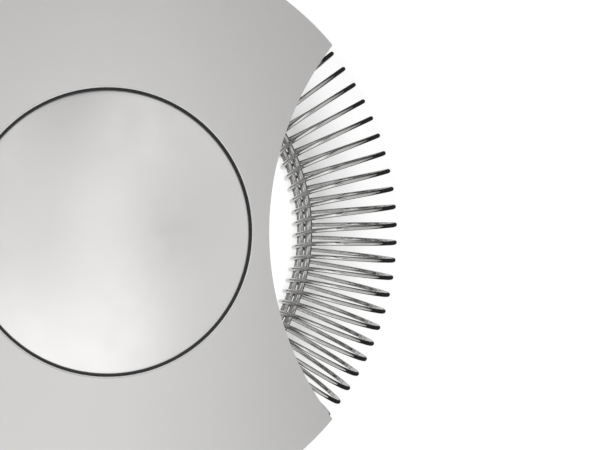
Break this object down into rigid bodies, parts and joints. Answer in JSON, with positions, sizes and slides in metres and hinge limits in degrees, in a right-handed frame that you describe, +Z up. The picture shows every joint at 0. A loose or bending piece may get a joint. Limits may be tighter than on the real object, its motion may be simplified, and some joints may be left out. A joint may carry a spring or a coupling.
{
  "type": "convex mirror",
  "caption": "Wall-mounted round convex mirror: a satin steel disc in a notched face plate with a coil-spring rim behind it, on a pan-and-tilt wall bracket.",
  "frame": {"origin": "on the wall, at the middle of the wall bracket's bolt circle", "axes": "+Z up, +X to the right of someone facing the mirror, the mirror faces -Y"},
  "size_m": [0.5985, 0.1945, 0.5998],
  "materials": {
    "face_steel": "satin, fine grain",
    "dome_steel": "satin mirror, softly polished",
    "spring_wire": "bright drawn stainless wire",
    "rod_steel": "bright drawn rod",
    "pan_steel": "mill finish sheet",
    "pan_paint": "white powder coat",
    "bracket_paint": "grey powder coat",
    "rubber": "matt black",
    "cap_plastic": "matt black",
    "friction_disc": "dark fibre",
    "fastener_steel": "plain stainless"
  },
  "bodies": {
    "wall_mount": {"wall_bracket": "bracket_paint", "pan_bolt": "fastener_steel", "pan_nut": "fastener_steel", "pan_washers": "fastener_steel", "pan_friction_discs": "friction_disc"},
    "knuckle": {"swivel_knuckle": "bracket_paint"},
    "mirror_head": {"arm_nuts": "fastener_steel", "arm_screws": "fastener_steel", "back_pan": "pan_paint", "clevis_bolts": "fastener_steel", "clevis_nuts": "fastener_steel", "clevis_washers": "fastener_steel", "coil_end_caps": "cap_plastic", "dome_backing": "pan_steel", "dome_nuts": "fastener_steel", "dome_seal": "rubber", "dome_spacers": "pan_steel", "dome_studs": "fastener_steel", "dome_washers": "fastener_steel", "face_nuts": "fastener_steel", "face_plate": "face_steel", "face_studs": "fastener_steel", "mirror_dome": "dome_steel", "ring_arm_1": "pan_steel", "ring_arm_2": "pan_steel", "ring_arm_3": "pan_steel", "ring_arm_4": "pan_steel", "ring_arm_5": "pan_steel", "ring_arm_6": "pan_steel", "ring_rod_inner": "rod_steel", "ring_rod_outer": "rod_steel", "spring_coil_1": "spring_wire", "spring_coil_10": "spring_wire", "spring_coil_11": "spring_wire", "spring_coil_2": "spring_wire", "spring_coil_3": "spring_wire", "spring_coil_4": "spring_wire", "spring_coil_5": "spring_wire", "spring_coil_6": "spring_wire", "spring_coil_7": "spring_wire", "spring_coil_8": "spring_wire", "spring_coil_9": "spring_wire", "spring_pads": "rubber", "tilt_bolt": "fastener_steel", "tilt_clevis": "bracket_paint", "tilt_friction_discs": "friction_disc", "tilt_nut": "fastener_steel", "tilt_washers": "fastener_steel"}
  },
  "joints": [
    {"name": "pan", "type": "hinge", "parent": "wall_mount", "child": "knuckle", "pos_m": [0, -0.034, 0], "axis": [0, 0, 1], "range_deg": [-10, 10]},
    {"name": "tilt", "type": "hinge", "parent": "knuckle", "child": "mirror_head", "pos_m": [0, -0.074, 0], "axis": [1, 0, 0], "range_deg": [-10, 10]}
  ]
}
